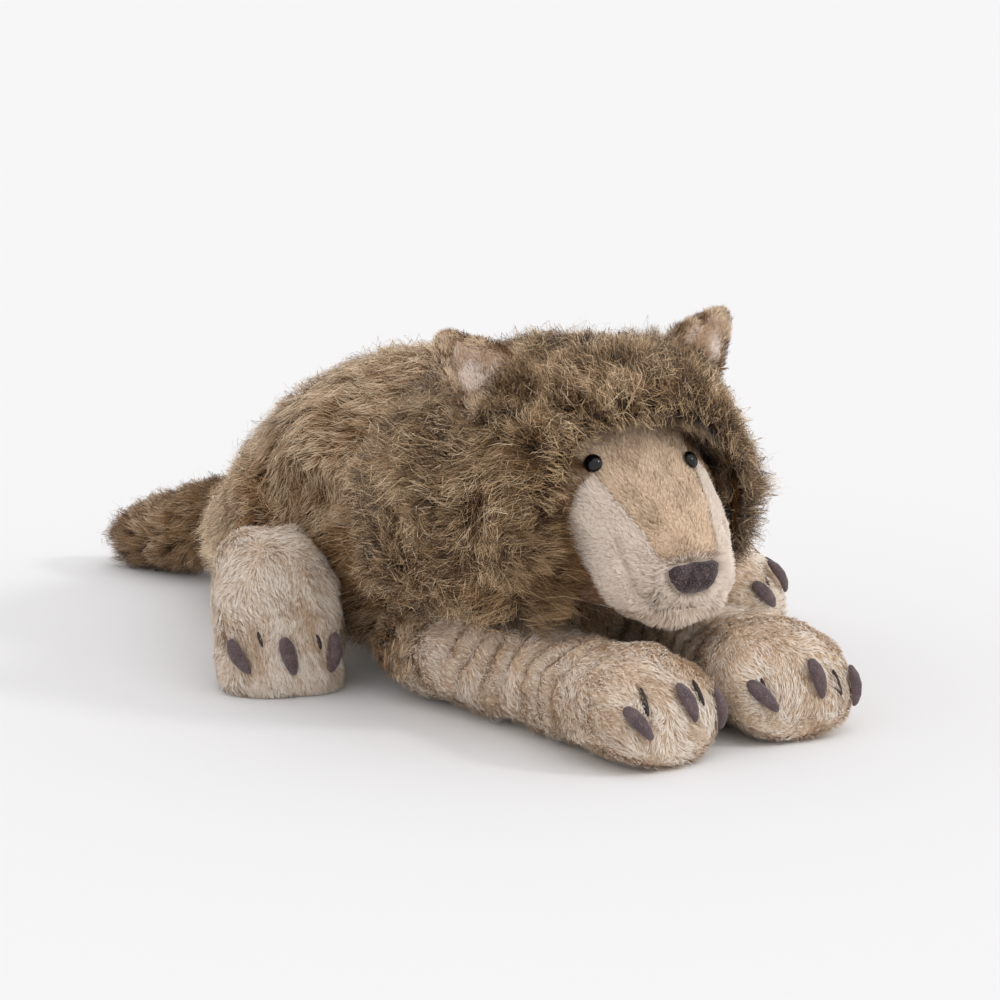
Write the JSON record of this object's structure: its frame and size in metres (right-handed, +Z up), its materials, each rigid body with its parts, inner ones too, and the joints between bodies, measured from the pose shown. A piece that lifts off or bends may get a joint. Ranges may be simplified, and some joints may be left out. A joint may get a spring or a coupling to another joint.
{
  "type": "plush wolf",
  "caption": "Large stuffed plush wolf lying on its belly, long-pile back and mane, short-pile face and legs, suede nose and claws, head, ears, legs and tail that move at their seams",
  "frame": {"origin": "centre of the box that holds the toy, on the floor it lies on", "axes": "+Z up, nose towards -Y, tail towards +Y, the left side of the wolf towards +X"},
  "size_m": [0.541, 0.85, 0.3145],
  "materials": {
    "long_pile_back": "long olive-brown plush pile, dark at the roots and pale at the tips",
    "long_pile_mane": "longer olive-brown plush pile with pale tips",
    "cream_pile": "short cream plush pile",
    "tan_pile": "short tan plush pile",
    "brown_pile": "short brown plush pile",
    "beige_pile": "medium beige plush pile",
    "suede": "matt plum-grey imitation suede",
    "eye": "glossy black moulded plastic",
    "washer": "moulded white plastic lock washer",
    "stuffing": "white polyester fibre filling"
  },
  "bodies": {
    "body": {"back_cover": "long_pile_back", "belly_panel": "cream_pile", "body_stuffing": "stuffing"},
    "neck": {"neck_stuffing": "stuffing"},
    "head": {"mane_hood": "long_pile_mane", "face_bridge": "tan_pile", "chin": "cream_pile", "cheek_right": "brown_pile", "muzzle_side_right": "cream_pile", "cheek_left": "brown_pile", "muzzle_side_left": "cream_pile", "head_stuffing": "stuffing", "eye_right": "eye", "eye_washer_right": "washer", "eye_left": "eye", "eye_washer_left": "washer", "nose": "suede"},
    "ear_right": {"ear_right_outer": "tan_pile", "ear_right_inner": "cream_pile"},
    "ear_left": {"ear_left_outer": "tan_pile", "ear_left_inner": "cream_pile"},
    "front_leg_right": {"front_leg_right_cover": "beige_pile", "front_leg_right_stuffing": "stuffing", "front_right_claw_inner": "suede", "front_right_claw_middle": "suede", "front_right_claw_outer": "suede"},
    "front_leg_left": {"front_leg_left_cover": "beige_pile", "front_leg_left_stuffing": "stuffing", "front_left_claw_inner": "suede", "front_left_claw_middle": "suede", "front_left_claw_outer": "suede"},
    "hind_leg_right": {"hind_leg_right_cover": "beige_pile", "hind_leg_right_stuffing": "stuffing", "hind_right_claw_inner": "suede", "hind_right_claw_middle": "suede", "hind_right_claw_outer": "suede"},
    "hind_leg_left": {"hind_leg_left_cover": "beige_pile", "hind_leg_left_stuffing": "stuffing", "hind_left_claw_inner": "suede", "hind_left_claw_middle": "suede", "hind_left_claw_outer": "suede"},
    "tail": {"tail_cover": "long_pile_back", "tail_stuffing": "stuffing"}
  },
  "joints": [
    {"name": "neck_turn", "type": "hinge", "parent": "body", "child": "neck", "pos_m": [-0.04191, -0.10502, 0.135], "axis": [0, 0, 1], "range_deg": [-15, 15]},
    {"name": "head_nod", "type": "hinge", "parent": "neck", "child": "head", "pos_m": [-0.04191, -0.10502, 0.135], "axis": [-1, 0, 0], "range_deg": [0, 20]},
    {"name": "right_ear_fold", "type": "hinge", "parent": "head", "child": "ear_right", "pos_m": [-0.13765, -0.22902, 0.27153], "axis": [0.829, 0, 0.5592], "range_deg": [0, 40], "stiffness_Nm_per_rad": 0.02},
    {"name": "left_ear_fold", "type": "hinge", "parent": "head", "child": "ear_left", "pos_m": [0.05383, -0.22902, 0.27146], "axis": [0.829, 0, -0.5592], "range_deg": [-40, 20], "stiffness_Nm_per_rad": 0.02},
    {"name": "front_leg_right_swing", "type": "hinge", "parent": "body", "child": "front_leg_right", "pos_m": [-0.13191, -0.12502, 0.045], "axis": [0, 0, -1], "range_deg": [0, 35]},
    {"name": "front_leg_left_swing", "type": "hinge", "parent": "body", "child": "front_leg_left", "pos_m": [0.04809, -0.12502, 0.045], "axis": [0, 0, 1], "range_deg": [0, 35]},
    {"name": "hind_leg_right_lift", "type": "hinge", "parent": "body", "child": "hind_leg_right", "pos_m": [-0.15711, 0.02498, 0.078], "axis": [-1, 0, 0], "range_deg": [0, 25]},
    {"name": "hind_leg_left_swing", "type": "hinge", "parent": "body", "child": "hind_leg_left", "pos_m": [0.10009, 0.01498, 0.045], "axis": [0, 0, 1], "range_deg": [-10, 25]},
    {"name": "tail_wag", "type": "hinge", "parent": "body", "child": "tail", "pos_m": [-0.04191, 0.28698, 0.066], "axis": [0, 0, 1], "range_deg": [-40, 2]}
  ]
}
